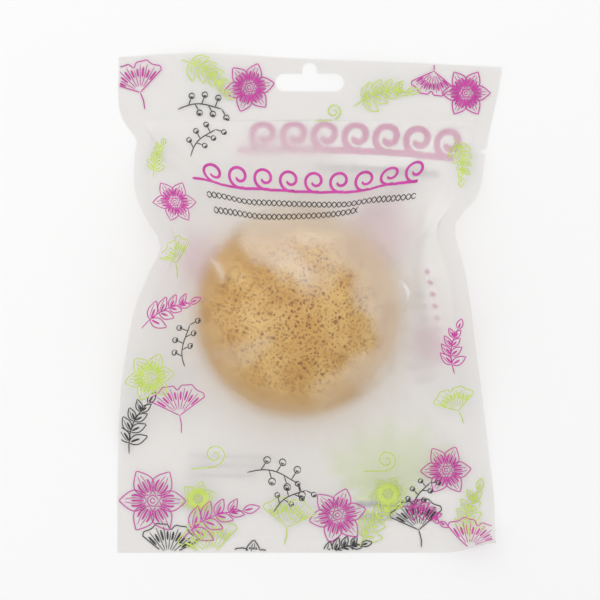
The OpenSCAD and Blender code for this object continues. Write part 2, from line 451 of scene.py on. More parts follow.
def front_limit(grid, support):
    """Keeps the front film above the sponge, the seams beside it and the air under it."""
    air = sum(high * np.exp(-off_middle(grid, *place)) for *place, high in AIR)
    low = np.maximum(over_sponge(grid), np.maximum(support, air) + LEAST_ROOM)
    touched = grid[..., 2] < low
    grid[..., 2] = np.maximum(grid[..., 2], low)
    return touched


def back_limit(grid, _):
    """Keeps the back film on the table and under the sponge's foot."""
    near = np.clip(grid[..., 1], sponge_y - travel, sponge_y + travel)
    r = np.hypot(grid[..., 0] - sponge_x, grid[..., 1] - near)
    out = np.clip(r - rim_x, 0, RIM_R)
    roof = np.where(r < sponge_r, RIM_R - np.sqrt(RIM_R**2 - out**2), FAR)
    touched = (grid[..., 2] < 0) | (grid[..., 2] > roof)
    grid[..., 2] = np.clip(grid[..., 2], 0, roof)
    return touched


# Where the front film clings to the dome, and where white is painted over it, partly for its own
# milkiness
# and partly as painted reflection: middle across and up from the sponge's, half length, half width,
# turn in degrees, and strength
CLING = (
    (4.6, 18.5, 14.5, 16, 0, 1), (-21.5, 1, 11, 13, 0, 1), (6, -4.6, 20, 16, 0, 1),
    (-3, -19.5, 19, 11.5, 0, 1), (27, -6, 9, 16, 0, 0.6), (-16.5, 12, 14, 8, -41, 0.3))
MILKY_AND_REFLECTION_PATCHES = (
    (-8, 23, 16, 7, -41, 0.8), (5, 32, 28, 7, 0, 0.85), (4.6, 19.5, 13, 12, 0, 0.36),
    (25, 24, 15, 13, -45, 0.85), (29, 9, 11, 9, 0, 0.75), (35, -4, 9, 24, 0, 0.8),
    (26, -22, 8, 9, 0, 0.6), (-20, -13, 10, 5, 20, 0.3), (12, -26, 9, 5, 10, 0.3))

# How sharp the patches' edges are, and the waves by which they wander across and up: how far,
# how fast and from where
CLING_EDGE, WHITE_PATCH_EDGE = 2, 3
WANDER_X = ((1.6, 0.3, 1), (0.5, 0.8, 0))
WANDER_Y = ((1.6, 0.27, 0), (0.5, 0.7, 0))

# How much of its gap the film loses where it clings, and how it lifts off the dome elsewhere
CLING_SHARE = 0.93
LIFT_OFF = 0.7
LIFT_TO, LIFT_FADE = 0.95, 0.2

# The white veil over the dome's rim and the milky patches, partly the frosted film's own milkiness
# and partly painted reflection; and the white painted along creases as their highlights
VEIL_AND_REFLECTION = 0.2
RIM_WHITE_FROM, RIM_WHITE_FADE = 0.94, 0.14
CREASE_PAINTED_HIGHLIGHT = 0.75


def in_patches(grid, patches, edge):
    """How far each point of the front film is in uneven round patches, from 0 to 1."""
    x, y = grid[..., 0] - sponge_x, grid[..., 1] - sponge_y
    shift_x = sum(far * np.sin(fast * y + start) for far, fast, start in WANDER_X)
    shift_y = sum(far * np.sin(fast * x + start) for far, fast, start in WANDER_Y)
    free = np.ones_like(x)
    for a, b, long, wide, turn, strength in patches:
        c, s = math.cos(math.radians(turn)), math.sin(math.radians(turn))
        dx, dy = x + shift_x - a, y + shift_y - b
        u = (dx * c + dy * s) / long
        v = (dy * c - dx * s) / wide
        free *= 1 - strength * np.exp(-((u * u + v * v) ** edge))
    return 1 - free


def from_axis(grid):
    """Each point's distance from the sponge's axis, as a share of its radius."""
    return np.hypot(grid[..., 0] - sponge_x, grid[..., 1] - sponge_y) / sponge_r


def clung(grid):
    """The front film pressed to the dome in patches, and lifted off it a little between them."""
    close = in_patches(grid, CLING, CLING_EDGE)
    r = from_axis(grid)
    rest = over_sponge(grid)
    gap = grid[..., 2] - rest
    lift = LIFT_OFF * np.clip((LIFT_TO - r) / LIFT_FADE, 0, 1)
    lifted = gap * (1 - CLING_SHARE * close) + lift * (1 - close)
    grid[..., 2] = np.where((rest > -FAR) & (r < LIFT_TO), rest + lifted, grid[..., 2])
    return smoother(grid, SMOOTH_CLUNG)


# Sharp creases: from and to places across and up, bow sideways, height, half width, and the share of
# white painted along it as a highlight
CREASES = (
    (-36.6, 17.0, -30.5, 7.0, 1.2, 0.6, 1.2, 0.26), (32.5, 8.0, 35.0, 0.0, 1.6, 0.9, 0.8, 0.85),
    (-46.4, 25.0, -40.6, 17.4, 0.6, 0.5, 1.0, 0.1), (-47.6, 20.5, -50.3, 6.6, 0.9, 0.6, 1.3, 0.08),
    (-52.0, 38.0, -41.0, 14.0, -1.5, 0.6, 1.2, 0.12), (22.0, 0.0, 29.0, -26.0, 1.5, 0.6, 1.4, 0),
    (50.0, 44.0, 37.0, 20.0, 1.5, 0.6, 1.3, 0.1), (-24.0, 62.0, -16.0, 36.0, 1.0, 0.4, 1.5, 0),
    (18.0, 62.0, 14.0, 38.0, -1.0, 0.4, 1.5, 0), (38.0, -30.0, 50.0, -56.0, -1.5, 0.5, 1.4, 0),
    (-46.0, -18.0, -50.0, -44.0, 1.0, 0.4, 1.3, 0), (-26.5, 24.0, -6.5, 5.5, 0.6, 0.5, 1.3, 0.16))
CREASE_FADE = 0.7


def creases_over(grid):
    """Each crease's height, the white painted along it as a highlight, and its profile from 0 to 1,
    which fades at its ends.
    """
    for x0, y0, x1, y1, bow, high, wide, white in CREASES:
        way = np.array([x1 - x0, y1 - y0])
        long = np.hypot(*way)
        way /= long
        dx, dy = grid[..., 0] - x0, grid[..., 1] - y0
        arch = np.sin(math.pi * np.clip((dx * way[0] + dy * way[1]) / long, 0, 1))
        aside = dy * way[0] - dx * way[1] - bow * arch
        yield high, white, arch**CREASE_FADE * np.exp(-((aside / wide) ** 2))


def creased(grid):
    """The front film with a few sharp creases."""
    for high, _, profile in creases_over(grid):
        grid[..., 2] += high * profile
    return grid


def white_veil_and_painted_light(grid):
    """The share of white that the front film adds: its own milkiness, with painted reflection at the
    dome's rim and in patches, and painted highlights along creases.
    """
    beside = np.clip((from_axis(grid) - RIM_WHITE_FROM) / RIM_WHITE_FADE, 0, 1)
    # White at the dome's rim and in the patches: partly the film's milkiness, partly painted
    # reflection
    share = VEIL_AND_REFLECTION * np.maximum(beside, in_patches(grid, MILKY_AND_REFLECTION_PATCHES, WHITE_PATCH_EDGE))
    # White painted along the creases as their highlights
    for _, white, profile in creases_over(grid):
        share = np.maximum(share, CREASE_PAINTED_HIGHLIGHT * white * profile)
    return share


# Where the two films lie on each other: middle across and up, half sizes, and how far up they meet
TOUCHING = (
    (34, 58, 27, 11, 0.1), (47, 11, 7.6, 22, 0.5), (47, 31, 7, 10, 0.85), (32, -73, 22, 9, 0.15))

# The films' distance there and at least, how clear they look there, and the share of the pocket
# within which the seams keep them apart
TOUCHING_GAP = 0.4
LEAST_GAP = 2.5 * FILM_T
TOUCHING_CLEAR = 0.85
SEAM_FADE = 0.012

# Where both films lie smoothest: middle across and up, and half sizes
CALM = ((47, 30, 13, 16), (-50, 36, 12, 12))
CALM_PASSES = 300

# Heights above and below both films
ABOVE, BELOW = 90.0, -5.0


def calmed(grid):
    """A film with its calm places smoothed."""
    calm = np.exp(-(np.minimum.reduce([off_middle(grid, *place) for place in CALM]) ** 2))
    return grid + calm[..., None] * (smoother(grid, CALM_PASSES) - grid)


def heights_of(grid, points, start, way):
    """Where upright rays through points meet a film, or the points' heights where they miss."""
    tree = BVHTree.FromPolygons(grid.reshape(-1, 3).tolist(), grid_faces(*grid.shape[:2]).tolist())
    found = points[..., 2].copy()
    for place in np.ndindex(found.shape):
        hit = tree.ray_cast(Vector((*points[place][:2], start)), Vector((0, 0, way)))[0]
        if hit is not None:
            found[place] = hit.z
    return found


def pressed(grid, front_z, back_z):
    """A film's heights where both films are pressed together, and how far each point takes part."""
    rows, columns = grid.shape[:2]
    from_seams = np.minimum(inward(columns), inward(rows)[:, None])
    share, total, level = 0, 1e-9, 0
    for *place, up in TOUCHING:
        here = np.exp(-(off_middle(grid, *place) ** 2))
        level = level + here * up
        total = total + here
        share = np.maximum(share, here)
    share = share * np.clip(from_seams / SEAM_FADE, 0, 1)
    meet = back_z + level / total * (front_z - back_z)
    return meet, share * np.clip((front_z - back_z) / TOUCHING_GAP - 1, 0, 1)


front_grid = creased(clung(calmed(settle(FILM_T, FRONT_GRAVITY, TENT_HIGH, front_limit))))
back_grid = calmed(settle(0, BACK_GRAVITY, 0, back_limit))

back_under_front = heights_of(back_grid, front_grid, ABOVE, -1)
front_over_back = heights_of(front_grid, back_grid, BELOW, 1)
front_meet, front_share = pressed(front_grid, front_grid[..., 2], back_under_front)
front_grid[..., 2] += front_share * (front_meet + TOUCHING_GAP / 2 - front_grid[..., 2])
front_cling = in_patches(front_grid, CLING, CLING_EDGE)
front_close = np.maximum(front_cling, TOUCHING_CLEAR * front_share)
back_meet, back_share = pressed(back_grid, front_over_back, back_grid[..., 2])
back_grid[..., 2] += back_share * (np.maximum(back_meet - TOUCHING_GAP / 2, 0) - back_grid[..., 2])

# The films never cross: the back film is drawn down where it comes too near the front one
roof = heights_of(front_grid, back_grid, BELOW, 1)[1:-1, 1:-1] - LEAST_GAP
back_inner = back_grid[1:-1, 1:-1]
back_inner[..., 2] = np.where(back_inner[..., 2] > roof, np.maximum(roof, 0), back_inner[..., 2])


# The loose corner and the header's waves bend the whole pouch alike

CURL_FROM_X, CURL_TO_X = 40.0, 68.0
CURL_FROM_Y = -73.0
CURL_ANGLE = 1.3
CURL_LENGTH = 18.0
WAVE_HIGH = 0.9
WAVE_LONG = 62.0


def bent(points):
    """Points of the flat-lying pouch with its corner curled up and its header in waves."""
    points = np.array(points, float)
    x, y = points[..., 0], points[..., 1]
    bend = CURL_ANGLE / CURL_LENGTH * ease(x, CURL_FROM_X, CURL_TO_X) + 1e-6
    reach = np.clip(CURL_FROM_Y - y, 0, None)
    points[..., 2] += np.where(reach > 0, (1 - np.cos(bend * reach)) / bend, 0)
    points[..., 1] = np.where(reach > 0, CURL_FROM_Y - np.sin(bend * reach) / bend, y)
    up = np.clip((y - header_y) / (header_high[1] - header_y), 0, 1)
    points[..., 2] += WAVE_HIGH * up * (1 - np.cos(2 * math.pi * (x + half_w) / WAVE_LONG))
    return points


# Film pieces

def film_piece(name, lower, thickness, node, slot, cut_sides=(), body="pouch"):
    """A sheet of film that stands for a node of the frame."""
    return stand_in(name, *two_faced(bent(lower), thickness, cut_sides), body, node, slot)


def side_band(rows, columns=5, split=3):
    """A grid over a side seal, with rows added between those of the frame."""
    places = np.arange(0, len(rows) - 1 + 1e-6, 1 / split)
    y, low, high, z = between(places, np.arange(len(rows)), rows).T[..., None]
    x = low + (high - low) * shares(columns)
    return np.stack(np.broadcast_arrays(x, y, z), 2)


def bottom_band(columns=90, rows=5):
    """A grid over the bottom seal, drawn from its corners in the frame."""
    points = node_points("bottom_seal")
    low = points[points[:, 1] < bottom_low[1] + SAME_EDGE, 0]
    high = points[points[:, 1] > floor_y - SAME_EDGE, 0]
    v = shares(rows)[:, None]
    left = low.min() + (high.min() - low.min()) * v
    right = low.max() + (high.max() - low.max()) * v
    x = left + (right - left) * shares(columns)
    return np.stack(np.broadcast_arrays(x, bottom_low[1] + (floor_y - bottom_low[1]) * v, 0), 2)


def outline_loops(node):
    """The closed outlines of a flat node's underside, as lists of plane points, longest first."""
    places = [(round(x, 3), round(y, 3)) for x, y, _ in node_points(node).tolist()]
    rings = [[places[v] for v in polygon.vertices]
             for polygon in frame["nodes"][node].data.polygons if polygon.normal.z < -0.9]
    edges = dict.fromkeys(edge for ring in rings for edge in zip(ring, ring[1:] + ring[:1]))
    before = {b: a for a, b in edges if (b, a) not in edges}
    loops = []
    while before:
        loop = [next(iter(before.values()))]
        while loop[-1] in before:
            loop.append(before.pop(loop[-1]))
        loops.append(loop[:-1])
    return sorted(loops, key=lambda loop: way_along(loop + loop[:1])[-1], reverse=True)


def resampled(loop, spacing):
    """A closed outline with points no further apart than spacing."""
    out = []
    for a, b in zip(loop, loop[1:] + loop[:1]):
        a, b = np.array(a), np.array(b)
        parts = max(1, math.ceil(np.linalg.norm(b - a) / spacing))
        out += [tuple(a + (b - a) * k / parts) for k in range(parts)]
    return out


def inside(points, loop):
    """Which plane points lie inside a closed outline."""
    ring = np.array(loop)
    x, y = points[:, 0], points[:, 1]
    found = np.zeros(len(points), bool)
    for a, b in zip(ring, np.roll(ring, -1, axis=0)):
        with np.errstate(divide="ignore", invalid="ignore"):
            crossing = a[0] + (y - a[1]) * (b[0] - a[0]) / (b[1] - a[1])
        found ^= ((a[1] > y) != (b[1] > y)) & (x < crossing)
    return found


def in_plate(points, loops):
    """Which plane points lie inside the first outline and in none of its holes."""
    return inside(points, loops[0]) & ~np.any([inside(points, hole) for hole in loops[1:]], axis=0)


def plate(node, thickness, spacing=2.0, clear=0.8):
    """Vertices and faces of a flat node as a finely meshed plate, with its holes left open."""
    loops = [resampled(loop, spacing) for loop in outline_loops(node)]
    low, high = node_box(node)
    xs = np.arange(low[0] + clear, high[0] - clear, spacing)
    ys = np.arange(low[1] + clear, high[1] - clear, spacing)
    grid = np.stack(np.meshgrid(xs, ys), -1).reshape(-1, 2)
    grid = grid[in_plate(grid, loops)]
    outline = np.concatenate(loops)
    grid = grid[[np.hypot(*(outline - p).T).min() > clear for p in grid]]
    edges = []
    start = 0
    for loop in loops:
        n = len(loop)
        edges += [(start + i, start + (i + 1) % n) for i in range(n)]
        start += n
    points = [Vector(p) for p in (*outline, *grid)]
    flat, _, triangles, _, _, _ = delaunay_2d_cdt(points, edges, [], 0, 1e-5)
    flat = np.array([p[:] for p in flat])
    triangles = np.array(triangles)
    triangles = triangles[in_plate(flat[triangles].mean(1), loops)]
    a, b, c = flat[triangles.T]
    down = np.cross(b - a, c - a) < 0
    triangles[down] = triangles[down, ::-1]
    up = triangles.tolist()
    sides = {side: None for t in up for side in zip(t, t[1:] + t[:1])}
    n = len(flat)
    lower = bent(np.column_stack([flat, np.zeros(n)]))
    # Its lower edge stays open, where the film runs on into the pocket
    walls = [(a, b, b + n, a + n) for a, b in sides
             if (b, a) not in sides and max(flat[a][1], flat[b][1]) > low[1] + SAME_ROW]
    faces = [*triangles[:, ::-1], *(triangles + n), *walls]
    return np.concatenate([lower, lower + (0, 0, thickness)]), faces


front = film_piece("front_film_drape", front_grid, FILM_T, "front_film", "front_film", body=HUGGING)
back = film_piece("back_film_drape", back_grid, FILM_T, "back_film", "back_film")
share_field(front, "close", np.tile(front_close.ravel(), 2))
share_field(front, "white_veil_and_painted_light", np.tile(white_veil_and_painted_light(front_grid).ravel(), 2))
seals = []
for node, lower, cut_sides in (
        ("left_seal", side_band(left_rows), ("left",)),
        ("right_seal", side_band(right_rows), ("right",)),
        ("bottom_seal", bottom_band(), ("left", "bottom", "right"))):
    seals.append(film_piece(node + "_band", lower, SEAL_T, node, "seal_film", cut_sides))
seals.append(stand_in(
    "header_band", *plate("header_seal", SEAL_T), "pouch", "header_seal", "seal_film"))


# The sponge: a half ball of dried fibre, pitted with pores

# Pores tried, their least and greatest radius, how much more often they are small, how far apart
# they stay, and their depth and the strength of the shade painted in them; and how many are craters,
# of about what radius
PORES = 2200
PORE_R = (0.34, 0.66)
PORE_BIAS = 1.7
PORE_APART = 0.16
PORE_DEEP = 0.5
PORE_SHADE_GAIN = 2.2
CRATERS = 36
CRATER_R = 0.85

# The uneven skin: height, length of its waves, the share of the film's gap that it may fill, and
# how far up from the foot it fades in
LUMP = 0.14
LUMP_LONG = 16
LUMP_ROOM = 0.6
FOOT_FADE = 2

# How far up the section the middle lies that it is drawn out from
MIDDLE_SHARE = 0.36


def around(middle, r, angles):
    """Points round a middle, at a distance and at angles."""
    return np.column_stack([middle[0] + r * np.cos(angles), middle[1] + r * np.sin(angles)])


def section_reach(angle):
    """Distance from the section's middle to its outline at an angle above the table."""
    dome = around((0, dome_z), dome_r, np.linspace(math.pi / 2, join_angle, 200))
    rim = around((rim_x, rim_z), RIM_R, np.linspace(join_angle, -math.pi / 2, 60)[1:])
    foot = [(x, sponge_low[2]) for x in np.linspace(rim_x, 0, 80)[1:]]
    x, y = (np.concatenate([dome, rim, foot]) - (0, middle_z))[::-1].T
    return np.interp(angle, np.arctan2(y, x), np.hypot(x, y))


def wavy(points, chance, scale, count=14):
    """A smooth uneven field of about unit size, from a few crossed waves."""
    total = np.zeros(len(points))
    for _ in range(count):
        direction = chance.normal(size=3)
        direction /= np.linalg.norm(direction)
        length = scale * chance.uniform(0.6, 1.6)
        total += np.sin(points @ direction * 2 * math.pi / length + chance.uniform(0, 2 * math.pi))
    return total / math.sqrt(count)


def sponge_shape(subdivisions):
    """Directions of an even ball, drawn out to the sponge's section."""
    bpy.ops.mesh.primitive_ico_sphere_add(subdivisions=subdivisions, radius=1)
    ball = bpy.context.object
    points = np.array([v.co[:] for v in ball.data.vertices])
    faces = np.array([p.vertices[:] for p in ball.data.polygons])
    bpy.data.objects.remove(ball, do_unlink=True)
    flat = np.hypot(points[:, 0], points[:, 1])
    shape = points * section_reach(np.arctan2(points[:, 2], flat))[:, None]
    shape[:, 2] += middle_z
    return shape, faces


def point_areas(points, faces):
    """The surface that each point stands for."""
    a, b, c = points[faces.T]
    third = np.linalg.norm(np.cross(b - a, c - a), axis=1) / 6
    total = np.zeros(len(points))
    for corners in faces.T:
        np.add.at(total, corners, third)
    return total


def pits(shape, area, chance):
    """How deep each point lies in a pore, and how much painted shade darkens it there. area weighs
    where pores go.
    """
    tree = kdtree.KDTree(len(shape))
    for i, p in enumerate(shape):
        tree.insert(p, i)
    tree.balance()
    depth = np.zeros(len(shape))
    dark = np.zeros(len(shape))
    taken = np.zeros((0, 4))
    tries = chance.choice(len(shape), PORES, replace=False, p=area / area.sum())
    for k, place in enumerate(shape[tries]):
        radius = PORE_R[0] + (PORE_R[1] - PORE_R[0]) * chance.uniform() ** PORE_BIAS
        if k < CRATERS:
            radius = CRATER_R * chance.uniform(0.8, 1.2)
        room = np.linalg.norm(taken[:, :3] - place, axis=1) - taken[:, 3]
        if len(room) and room.min() < radius + PORE_APART:
            continue
        taken = np.vstack([taken, [*place, radius]])
        tone = chance.uniform(0.5, 1.0)
        for _, i, distance in tree.find_range(place, radius):
            bowl = 1 - (distance / radius) ** 2
            depth[i] = radius * PORE_DEEP * math.sqrt(bowl)
            # Painted shade, strongest in the pore's middle
            dark[i] = tone * min(1.0, bowl * PORE_SHADE_GAIN)
    return depth, dark


middle_z = MIDDLE_SHARE * (sponge_low[2] + sponge_high[2])
chance = np.random.default_rng(SEED)
shape, sponge_faces = sponge_shape(7)
outward = unit(shape - np.array([0, 0, middle_z]))
depth, dark = pits(shape, point_areas(shape, sponge_faces), chance)
above_foot = np.clip((shape[:, 2] - sponge_low[2]) / FOOT_FADE, 0, 1)
lumps = LUMP * wavy(shape, chance, LUMP_LONG) * above_foot
shape += outward * (np.minimum(lumps, film_gap * LUMP_ROOM) - depth)[:, None]
shape[:, 2] = np.clip(shape[:, 2], sponge_low[2], None)
shape += np.array([sponge_x, sponge_y, 0])
sponge = stand_in(
    "sponge_half_ball", shape, sponge_faces, "sponge", "sponge", "konjac_fibre", smooth_angle=180)
# Each point's painted pore shade, which darkens the sponge's colour there
share_field(sponge, "painted_pore_shade", dark)


# Materials

def material(name):
    """An empty node material."""
    made = bpy.data.materials.new(name)
    made.use_nodes = True
    made.node_tree.nodes.clear()
    return made


def add(made, kind, sockets=None, **settings):
    """A new node of a material. Its sockets take a value, or the output of another node."""
    node = made.node_tree.nodes.new("ShaderNode" + kind)
    for name, value in settings.items():
        setattr(node, name, value)
    for name, value in (sockets or {}).items():
        if isinstance(value, bpy.types.NodeSocket):
            made.node_tree.links.new(value, node.inputs[name])
        else:
            node.inputs[name].default_value = value
    return node


def math_node(made, operation, a, b):
    """The result of an operation on two values."""
    return add(made, "Math", {0: a, 1: b}, operation=operation).outputs[0]


def ranged(made, value, low, high, **limits):
    """A value stretched to run from low to high."""
    sockets = {"Value": value, "To Min": low, "To Max": high, **limits}
    return add(made, "MapRange", sockets).outputs["Result"]


def mixed(made, share, first, second):
    """Two shaders, the second by a share."""
    return add(made, "MixShader", {"Fac": share, 1: first.outputs[0], 2: second.outputs[0]})


def field(made, name):
    """The share that each point of the mesh was given."""
    return add(made, "Attribute", attribute_name=name).outputs["Fac"]


def noise(made, scale, detail):
    """A noise in the object's own space."""
    place = add(made, "TexCoord").outputs["Object"]
    return add(made, "TexNoise", {"Vector": place, "Scale": scale, "Detail": detail}).outputs["Fac"]


def two_tones(made, share, low, high):
    """A colour that goes over from one tone to another. Each is a share and its colour."""
    ramp = add(made, "ValToRGB", {"Fac": share})
    for end, (position, tone) in zip(ramp.color_ramp.elements, (low, high)):
        end.position = position
        end.color = tone
    return ramp.outputs["Color"]


def finished(made, shader):
    """The material with its shader as what it shows."""
    add(made, "OutputMaterial", {"Surface": shader.outputs[0]})
    return made


def colour(*values):
    """A linear colour from its 0 to 255 values as seen on a screen."""
    bright = [value / 255 for value in values]
    return (*(c / 12.92 if c <= 0.04045 else ((c + 0.055) / 1.055) ** 2.4 for c in bright), 1)


# Where the front film clings: its haze and its roughness
CLINGING_HAZE = 0.03
CLINGING_ROUGHNESS = 0.28


def film_material(name, tint, shade, roughness, haze, veil_and_painted_light=None):
    """Frosted film: rough clear plastic with a little milky haze, and clear to the lamps' rays.
    With no veil given, the mesh says how much white it shows, partly milkiness and partly painted
    reflection and highlights, and where it clings it is clearer."""
    made = material(name)
    if veil_and_painted_light is None:
        # The mesh's share of white holds painted reflection and highlights as well as milkiness
        veil_and_painted_light = field(made, "white_veil_and_painted_light")
        close = field(made, "close")
        haze = ranged(made, close, haze, CLINGING_HAZE)
        roughness = ranged(made, close, roughness, CLINGING_ROUGHNESS)
    bump = add(made, "Bump", {"Strength": 0.08, "Distance": 0.00004, "Height": noise(made, 900, 3)})
    glass = add(made, "BsdfPrincipled", {
        "Base Color": tint, "Transmission Weight": 1, "Roughness": roughness, "IOR": 1.45,
        "Coat Weight": 0.1, "Coat Roughness": 0.3, "Normal": bump.outputs["Normal"]})
    hazy = mixed(made, haze, glass, add(made, "BsdfTranslucent", {"Color": (0.93, 0.92, 0.91, 1)}))
    # The white layer: the film's own milkiness and, where the mesh asks for it, painted reflection
    # and highlights
    white = add(made, "BsdfDiffuse", {"Color": (0.93, 0.92, 0.915, 1)})
    clear = add(made, "BsdfTransparent", {"Color": shade})
    rays = add(made, "LightPath").outputs
    light = math_node(made, "MAXIMUM", rays["Is Shadow Ray"], rays["Is Diffuse Ray"])
    return finished(made, mixed(made, light, mixed(made, veil_and_painted_light, hazy, white), clear))


# Smaller pores: cells to the metre, least and greatest radius as a share of a cell, and the strength
# of their painted shade; and the share of a pore's radius where that painted shade is strongest
SMALL_PORES = ((980, 0.16, 0.46, 0.95), (1700, 0.16, 0.42, 0.5))
PORE_CORE = 0.6


def sponge_material():
    """Dried konjac fibre: tan with pores darkened by painted shade, fine grain and slow changes of
    tone.
    """
    made = material("konjac_fibre")
    tan = two_tones(
        made, noise(made, 90, 4), (0.32, colour(206, 155, 70)), (0.7, colour(232, 192, 118)))
    place = add(made, "TexCoord").outputs["Object"]
    deepest = field(made, "painted_pore_shade")
    for cells, least, greatest, painted_shade in SMALL_PORES:
        cell = add(made, "TexVoronoi", {"Vector": place, "Scale": cells}).outputs
        chosen = add(made, "SeparateColor", {"Color": cell["Color"]}).outputs["Red"]
        radius = ranged(made, chosen, least, greatest)
        core = math_node(made, "MULTIPLY", radius, PORE_CORE)
        hole = ranged(
            made, cell["Distance"], painted_shade, 0, **{"From Min": core, "From Max": radius})
        deepest = math_node(made, "MAXIMUM", deepest, hole)
    # The pores' colour is painted shade, mixed into the tan by each point's share
    tan_with_pore_shade = add(
        made, "Mix", {"Factor": deepest, "A": tan, "B": colour(132, 78, 10)}, data_type="RGBA")
    bump = add(made, "Bump", {"Strength": 0.6, "Distance": 0.0003, "Height": deepest}, invert=True)
    return finished(made, add(made, "BsdfPrincipled", {
        "Base Color": tan_with_pore_shade.outputs["Result"], "Roughness": 0.9, "Specular IOR Level": 0.2,
        "Normal": bump.outputs["Normal"]}))


def ink_material(name, tone, deep):
    """Printing ink: an even colour that thins a little from place to place."""
    made = material(name)
    ink = two_tones(made, noise(made, 260, 5), (0.35, colour(*deep)), (0.65, colour(*tone)))
    return finished(made, add(made, "BsdfPrincipled", {"Base Color": ink, "Roughness": 0.4}))


def wear(piece, made):
    """Gives a piece its one material."""
    piece.data.materials.clear()
    piece.data.materials.append(made)


FILM_TINT = (0.97, 0.965, 0.955, 1)
FILM_SHADE = (0.972, 0.967, 0.962, 1)
wear(front, film_material("frosted_front_film", FILM_TINT, FILM_SHADE, 0.52, 0.28))
wear(back, film_material("frosted_back_film", FILM_TINT, FILM_SHADE, 0.44, 0.1, 0.09))
seal_look = film_material(
    "sealed_film", (0.925, 0.917, 0.907, 1), (0.95, 0.943, 0.937, 1), 0.5, 0.15, 0.05)
for piece in seals:
    wear(piece, seal_look)
wear(sponge, sponge_material())


# The print: line-drawn sprigs, blooms, fans, berry twigs and tendrils, and wave borders, all ink
# ribbons on the film. Print places are millimetres on the flat pouch: across from its middle line,
# and up from its lower edge

# Strokes lie in 24 layers a hair apart, so that crossing ones aren't in one plane
INK_LIFT, BACK_INK_LIFT = 0.07, 0.03
INK_HAIR = 0.0015
INK_LAYERS = 24

# A ribbon's steps, its share of its width at the tips, and what it gains at each step from there
INK_STEP = 0.8
TIP, TIP_GAIN = 0.4, 0.5
LINE, FINE, BOLD = 0.4, 0.28, 0.75
PRINT_MARGIN = 0.6

weld_h = floor_y - bottom_low[1]
pocket_h = (left_way[-1] + right_way[-1]) / 2
pocket_w = half_w - side_seal_w
pocket_top = weld_h + pocket_h
header_top = pocket_top + header_high[1] - header_y
header_loops = outline_loops("header_seal")


def seam_grid(seam_share, seam, rows, edge_column):
    """A grid over a side weld whose rows keep pace with the film's."""
    inner = between(shares(240), seam_share, seam)
    outer = inner.copy()
    outer[:, 0] = np.interp(inner[:, 1], rows[:, 0], rows[:, edge_column])
    left, right = sorted((inner, outer), key=lambda line: line[0, 0])
    return np.stack([left, (left + right) / 2, right], 1)


def header_grid():
    """A level grid over the header."""
    x, y = np.meshgrid(np.linspace(-half_w, half_w, 141), np.linspace(header_y, header_high[1], 30))
    return np.stack([x, y, 0 * x], 2)


def skins(film, lift, under):
    """The regions that carry print on one side of the pouch: the print places that each lies
    between, and its grid, bent and moved to just off its outer face."""
    left = seam_grid(left_share, seam_left, left_rows, 1)
    right = seam_grid(right_share, seam_right, right_rows, 2)
    regions = []
    for x_low, x_high, y_low, y_high, lower in (
            (-half_w, half_w, 0, weld_h, bottom_band()),
            (-half_w, half_w, pocket_top, header_top, header_grid()),
            (-half_w, -pocket_w, weld_h, pocket_top, left),
            (pocket_w, half_w, weld_h, pocket_top, right),
            (-pocket_w, pocket_w, weld_h, pocket_top, film)):
        grid = bent(lower)
        thickness = FILM_T if lower is film else SEAL_T
        off = -lift if under else thickness + lift
        regions.append((x_low, x_high, y_low, y_high, grid + grid_normals(grid) * off))
    return regions


def on_skin(regions, points):
    """Places on the pouch for print places."""
    a, b = points.T
    placed = np.zeros((len(points), 3))
    for a0, a1, b0, b1, grid in regions:
        here = (a >= a0 - 1e-6) & (a <= a1) & (b >= b0) & (b <= b1)
        rows, columns = grid.shape[:2]
        u = np.clip((a[here] - a0) / (a1 - a0), 0, 1) * (columns - 1)
        v = np.clip((b[here] - b0) / (b1 - b0), 0, 1) * (rows - 1)
        j = np.minimum(u.astype(int), columns - 2)
        i = np.minimum(v.astype(int), rows - 2)
        s, t = (u - j)[:, None], (v - i)[:, None]
        placed[here] = (
            (grid[i, j] * (1 - s) + grid[i, j + 1] * s) * (1 - t)
            + (grid[i + 1, j] * (1 - s) + grid[i + 1, j + 1] * s) * t)
    return placed


def on_film(flat):
    """Which print places lie on the film, clear of its edges and of the hang slot."""
    there = (np.abs(flat[:, 0]) < half_w - PRINT_MARGIN) & (flat[:, 1] > PRINT_MARGIN)
    plan = flat + (0, header_y - weld_h - pocket_h)
    return there & ((plan[:, 1] < header_y) | in_plate(plan, header_loops[:2]))


def even(points):
    """A line of points resampled to even steps."""
    points = np.asarray(points, float)
    way = way_along(points)
    count = max(3, math.ceil(way[-1] / INK_STEP) + 1)
    return between(np.linspace(0, way[-1], count), way, points)


